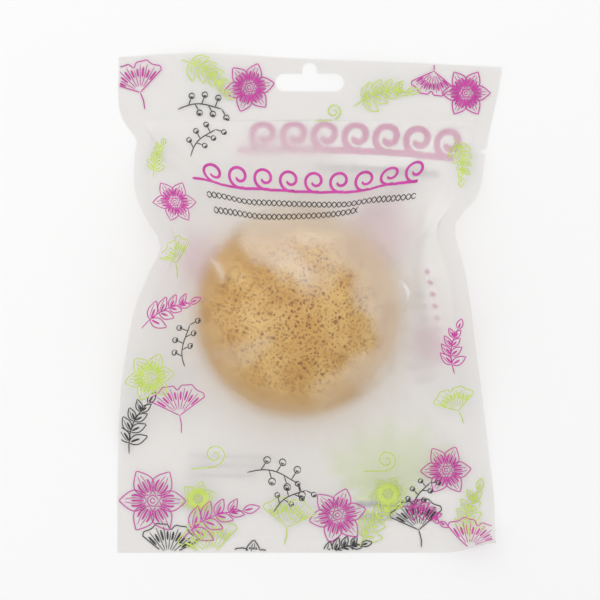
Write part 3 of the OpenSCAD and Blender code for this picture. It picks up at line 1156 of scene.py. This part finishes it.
class Ink:
    """Ribbons and patches of one colour, gathered into one piece."""

    def __init__(self, regions, side=1):
        self.regions = regions
        self.side = side
        self.layer = 0
        self.points = []
        self.faces = []
        self.count = 0

    def add(self, flat, faces):
        """Lays a stroke on the film, and leaves out what would hang over its edges."""
        there = on_film(flat)
        faces = faces[there[faces].all(1)]
        if not len(faces):
            return
        self.layer = (self.layer + 1) % INK_LAYERS
        place = on_skin(self.regions, flat[there])
        place[:, 2] += self.side * INK_HAIR * self.layer
        self.points.append(place)
        self.faces += (np.cumsum(there)[faces] - 1 + self.count).tolist()
        self.count += len(place)

    def line(self, points, width):
        """A ribbon that thins out at both ends."""
        way = even(points)
        x, y = unit(np.gradient(way, axis=0)).T
        n = len(way)
        from_tip = np.minimum(np.arange(n), np.arange(n)[::-1])
        ends = np.clip(from_tip * TIP_GAIN + TIP, 0, 1)
        half = np.column_stack([-y, x]) * (width / 2 * ends)[:, None]
        self.add(np.concatenate([way - half, way + half]), grid_faces(2, n))

    def patch(self, outline):
        """A filled shape, fanned round its middle."""
        n = len(outline)
        faces = np.array([(i, (i + 1) % n, n) for i in range(n)])
        self.add(np.vstack([outline, np.mean(outline, 0)]), faces)

    def piece(self, name, body, made, slot):
        """One object of all that was laid."""
        piece = make_object(name, np.concatenate(self.points), self.faces, body, smooth_angle=180)
        wear(piece, made)


def placed(points, at, turn, size=1):
    """Points of a motif turned by degrees, scaled and moved to a print place."""
    c, s = math.cos(math.radians(turn)), math.sin(math.radians(turn))
    x, y = np.asarray(points, float).T * size
    return np.column_stack([x * c - y * s + at[0], x * s + y * c + at[1]])


# Motifs are lines and their widths, about one unit long. Their numbers are drawing proportions

def leaf_side(t, half):
    """How wide a leaf is at shares t of its length."""
    return half * np.sin(math.pi * t**0.8)


def petal(length, width, strokes, at, turn):
    """A leaf or petal with strokes that run with its outline, in turn bold and fine."""
    t = shares(15)
    side = np.column_stack([t * length, leaf_side(t, width / 2)])
    outline = np.concatenate([side, (side * (1, -1))[::-1]])
    lines = [(placed(outline, at, turn), LINE)]
    for k in range(strokes):
        across = 1.56 * (k + 1) / (strokes + 1) - 0.78
        t = np.linspace(0.1, 0.56 + 0.24 * (k % 2), 8)
        flow = np.column_stack([t * length, leaf_side(t, across * width / 2)])
        lines.append((placed(flow, at, turn), FINE if k % 2 else BOLD))
    return lines


def sprig(pairs=4, droop=0.12):
    """A bowed stem with pairs of small leaves and one at its tip."""
    t = shares(20)
    stem = np.column_stack([t, droop * np.sin(math.pi * t)])
    lines = [(stem, LINE)]
    for k in range(pairs):
        s = 0.2 + 0.6 * k / max(1, pairs - 1)
        base = (s, droop * math.sin(math.pi * s))
        long = 0.36 - 0.16 * k / pairs
        for side in (-1, 1):
            lines += petal(long, long * 0.5, 1 + (side > 0), base, side * (52 - 6 * k))
    return lines + petal(0.26, 0.13, 1, stem[-1], -12)


def bloom(petals=6):
    """A flower: hatched petals round a ring."""
    lines = []
    for k in range(petals):
        turn = 360 * k / petals
        lines += petal(0.42, 0.32, 5, placed([(0.1, 0)], (0, 0), turn)[0], turn)
    ring = np.linspace(0, 2 * math.pi, 13)
    return lines + [(around((0, 0), r, ring), LINE) for r in (0.085, 0.04)]


def fan(ribs=15):
    """A fan-shaped leaf with a split edge, bold and fine ribs, on a stalk."""
    foot = np.array([0, 0.34])
    spread = np.radians(np.linspace(-58, 58, 41))
    reach = 0.64 - 0.05 * np.abs(np.sin(spread * 7)) - 0.16 * np.exp(-((spread / 0.09) ** 2))
    edge = np.column_stack([reach * np.sin(spread), foot[1] + reach * np.cos(spread)])
    lines = [([(0, 0), (0.02, 0.17), foot], LINE), (np.vstack([foot, edge, foot]), LINE)]
    for k in range(ribs):
        angle = math.radians(-52 + 104 * k / (ribs - 1))
        way = np.array([math.sin(angle), math.cos(angle)])
        start, end = (0.12, 0.92) if k % 2 else (0.3, 0.8)
        out = np.interp(angle, spread, reach) * end
        lines.append(([way * start + foot, way * out + foot], FINE if k % 2 else BOLD))
    return lines


def twig(berries=6):
    """A bowed twig with a berry on each side in turn."""
    t = shares(20)
    bow = 0.1 * np.sin(math.pi * 1.2 * t)
    lines = [(np.column_stack([t, bow]), LINE)]
    ring = np.linspace(0, 2 * math.pi, 12)
    for k in range(berries):
        s = 0.25 + 0.75 * k / (berries - 1)
        base = np.array([s, np.interp(s, t, bow)])
        side = (-1) ** k
        end = base + (0.07, 0.15 * side)
        centre = end + (0.02, 0.055 * side)
        lines += [([base, end], LINE), (around(centre, 0.065, ring), LINE),
                  (around(centre, 0.035, ring[6:11]), BOLD)]
    return lines


def tendril(turns=1.6):
    """A curled tendril."""
    t = shares(60)
    r = 0.26 * (1 - t) ** 0.8 + 0.03
    curl = around((0.7, 0.26), r, turns * 2 * math.pi * t - math.pi / 2)
    t = np.linspace(0, math.pi, 20)
    lead = np.column_stack([np.linspace(0, 0.7, 20), -0.03 + 0.03 * np.cos(t)])
    return [(np.vstack([lead, curl]), LINE)]


def bowed(line, at, sag, length):
    """A line of a border laid along a shallow arc, and moved to its print place."""
    x, y = line.T
    return np.column_stack([x + at[0], y + at[1] - sag * np.sin(math.pi * (x / length))])


def title(ink, at, length, height, waves, sag, width):
    """A running wave scroll in the place of large letters. Each wave curls over and in."""
    pitch = length / waves
    angle = np.linspace(-math.pi * 0.62, math.pi * 1.9, 44)
    r = height * (0.5 - 0.36 * shares(44))
    for x in pitch * np.arange(waves):
        curl = around((x + pitch * 0.62, height * 0.5), r, -(math.pi + angle))
        line = np.vstack([(x - pitch * 0.3, 0), (x, height * 0.02), curl])
        ink.line(bowed(line, at, sag, length), width)


BRAID_PITCH = 4.2


def braid(ink, at, length, half_high, sag, width):
    """Two crossed waves in the place of a line of small letters."""
    t = shares(200)
    for phase in (0, math.pi):
        wave = half_high * np.sin(t * length / BRAID_PITCH * 2 * math.pi + phase)
        ink.line(bowed(np.column_stack([t * length, wave]), at, sag, length), width)


def motif(ink, lines, at, turn, size, width=None):
    """A motif at a print place, in its own widths or all in one."""
    for line, own_width in lines:
        ink.line(placed(line, at, turn, size), width or own_width)


MOTIFS = {"sprig": sprig(), "bloom": bloom(), "fan": fan(), "twig": twig(), "tendril": tendril()}

# Each ink's motifs on the front: place across and up, turn in degrees and size
FRONT_GARDEN = {
    "magenta": (
        ("fan", -60, 170, 15, 19), ("bloom", -22, 178, 10, 18), ("fan", 46, 189, 172, 15),
        ("bloom", 57, 176, 0, 17), ("bloom", -56, 133, 0, 17), ("sprig", -66, 83, 35, 20),
        ("fan", -47, 44, 8, 20), ("bloom", -57, 19, 0, 24), ("sprig", -46, 5, 25, 25),
        ("bloom", 12, 14, 12, 21), ("bloom", 53, 31, 0, 19), ("sprig", 61, 67, 78, 17),
        ("sprig", 36, 17, -22, 15), ("fan", 58, -6, -20, 20)),
    "lime": (
        ("sprig", -47, 188, -35, 19), ("sprig", 16, 171, 16, 20), ("tendril", 2, 166, 6, 10),
        ("sprig", -63, 143, 66, 14), ("sprig", 57, 159, -70, 16), ("fan", -57, 103, 22, 17),
        ("bloom", -60, 65, 15, 18), ("tendril", -43, 31, 12, 14), ("fan", -8, 3, -8, 19),
        ("sprig", 20, 2, 48, 20), ("tendril", 22, 31, 8, 13), ("sprig", 61, 3, 80, 20),
        ("fan", 62, 48, 14, 15), ("fan", -33, -8, 14, 22), ("bloom", -40, 20, 20, 13),
        ("bloom", 31, 22, 8, 14)),
    "black": (
        ("twig", -48, 170, 4, 16), ("twig", -46, 152, 48, 15), ("twig", -47, 70, 96, 16),
        ("sprig", -66, 36, 72, 20), ("twig", -22, 30, -8, 20), ("fan", 43, 2, 8, 19),
        ("twig", -12, 15, 38, 15), ("bloom", -20, -3, 25, 15), ("fan", -52, -8, -6, 20),
        ("sprig", 5, -4, 24, 17), ("twig", 40, 14, 64, 14)),
}
front_skins = skins(front_grid, INK_LIFT, False)
inks = {name: Ink(front_skins) for name in FRONT_GARDEN}
for name, garden in FRONT_GARDEN.items():
    for kind, a, b, turn, size in garden:
        motif(inks[name], MOTIFS[kind], (a, b), turn, size)
title(inks["magenta"], (-44, 142), 92, 9.5, 9, 4.5, 1.15)
braid(inks["black"], (-42, 136), 88, 1.25, 3.6, 0.42)
braid(inks["black"], (-40, 130), 62, 1.25, 3.0, 0.42)

# The back's print, which shows through: a title over a row of letters, a column of lozenges, blooms,
# the lines beside the column, three lines lower down, a green leaf, and a grey and a dark row
back_skins = skins(back_grid, BACK_INK_LIFT, True)
back_inks = {name: Ink(back_skins, -1) for name in ("pale_magenta", "pale_lime", "grey", "dark")}
pale, grey = back_inks["pale_magenta"], back_inks["grey"]
title(pale, (-24, 151), 84, 12, 7, 0, 2.5)
braid(grey, (3, 144.4), 50, 1.1, 0, 0.8)
for k in range(6):
    x, y = 53.4 - 0.1 * k, 105.7 - 4.6 * k
    pale.patch([(x + 1.7, y), (x, y + 1.3), (x - 1.7, y), (x, y - 1.3)])
for at, size, width in (((-47, 110), 24, 0.5), ((30, 122), 30, 0.65), ((48, 77), 17, 0.4)):
    motif(pale, MOTIFS["bloom"], at, 0, size, width)
for k in range(8):
    y = 96.5 - 4.6 * k
    grey.line([(41 - 2.2 * math.sin(2.3 * k), y), (49, y)], 1.3)
for k in range(3):
    y = 36 - 3.6 * k
    grey.line([(-44, y), (-10 - 4 * k, y)], 1.1)
for turn in (38, 64, 90, 116, 142):
    motif(back_inks["pale_lime"], sprig(3, 0.06), (31, 21), turn, 24, 1.2)
braid(grey, (20, 13.4), 20, 1.1, 0, 0.7)
back_inks["dark"].line([(19 + 0.95 * k, 18.4 + 1.1 * (-1) ** k) for k in range(26)], 1.1)

# Each ink's colour on a screen, and where it lies thicker
INK_TONES = {
    "magenta": ((208, 66, 168), (190, 48, 150)),
    "lime": ((206, 226, 112), (190, 214, 84)),
    "black": ((58, 56, 58), (38, 36, 38)),
    "pale_magenta": ((210, 26, 148), (202, 18, 140)),
    "pale_lime": ((212, 236, 134), (202, 226, 114)),
    "grey": ((160, 160, 162), (146, 146, 148)),
    "dark": ((92, 96, 92), (78, 82, 78)),
}
ink_looks = {name: ink_material(name + "_ink", *tones) for name, tones in INK_TONES.items()}
for name, ink in inks.items():
    ink.piece("front_print_" + name, HUGGING, ink_looks[name], "front_film")
for name, ink in back_inks.items():
    ink.piece("back_print_" + name, "pouch", ink_looks[name], "back_film")


# Camera, light and floor

PIXEL_MM = 0.3644
PICTURE = 600
POUCH_MIDDLE_PX = (309.6, 303.0)
CAMERA_HEIGHT = 0.9
SENSOR = 36
FLOOR = 1.5
FLOOR_Z = -0.0001

camera_data = bpy.data.cameras.new("camera")
camera_data.sensor_width = SENSOR
camera_data.lens = SENSOR * CAMERA_HEIGHT / (PICTURE * PIXEL_MM * MM)
camera = in_scene("camera", camera_data)
camera.location = (
    (PICTURE / 2 - POUCH_MIDDLE_PX[0]) * PIXEL_MM * MM,
    (POUCH_MIDDLE_PX[1] - PICTURE / 2) * PIXEL_MM * MM,
    CAMERA_HEIGHT)
bpy.context.scene.camera = camera


def lamp(name, place, size, power):
    """A soft square lamp that looks at the pouch."""
    data = bpy.data.lights.new(name, "AREA")
    data.size = size
    data.energy = power
    made = in_scene(name, data)
    made.location = place
    made.rotation_euler = (-Vector(place)).to_track_quat("-Z", "Y").to_euler()


lamp("key_lamp", (-0.12, 0.62, 0.62), 1.3, 2.2)
lamp("fill_lamp", (-0.55, -0.2, 0.65), 0.5, 0.4)

world = bpy.data.worlds.new("studio")
world.use_nodes = True
world.node_tree.nodes["Background"].inputs["Color"].default_value = (1, 1, 1, 1)
world.node_tree.nodes["Background"].inputs["Strength"].default_value = 0.84
bpy.context.scene.world = world

corners = [(x * FLOOR, y * FLOOR, 0) for x, y in ((-1, -1), (1, -1), (1, 1), (-1, 1))]
floor_mesh = bpy.data.meshes.new("floor")
floor_mesh.from_pydata(corners, [], [(0, 1, 2, 3)])
floor = in_scene("floor", floor_mesh)
floor.location.z = FLOOR_Z
floor_look = material("pale_floor")
wear(floor, finished(floor_look, add(floor_look, "BsdfPrincipled", {
    "Base Color": (0.96, 0.96, 0.96, 1), "Roughness": 0.9, "Specular IOR Level": 0})))

bpy.context.scene.view_settings.view_transform = "Standard"
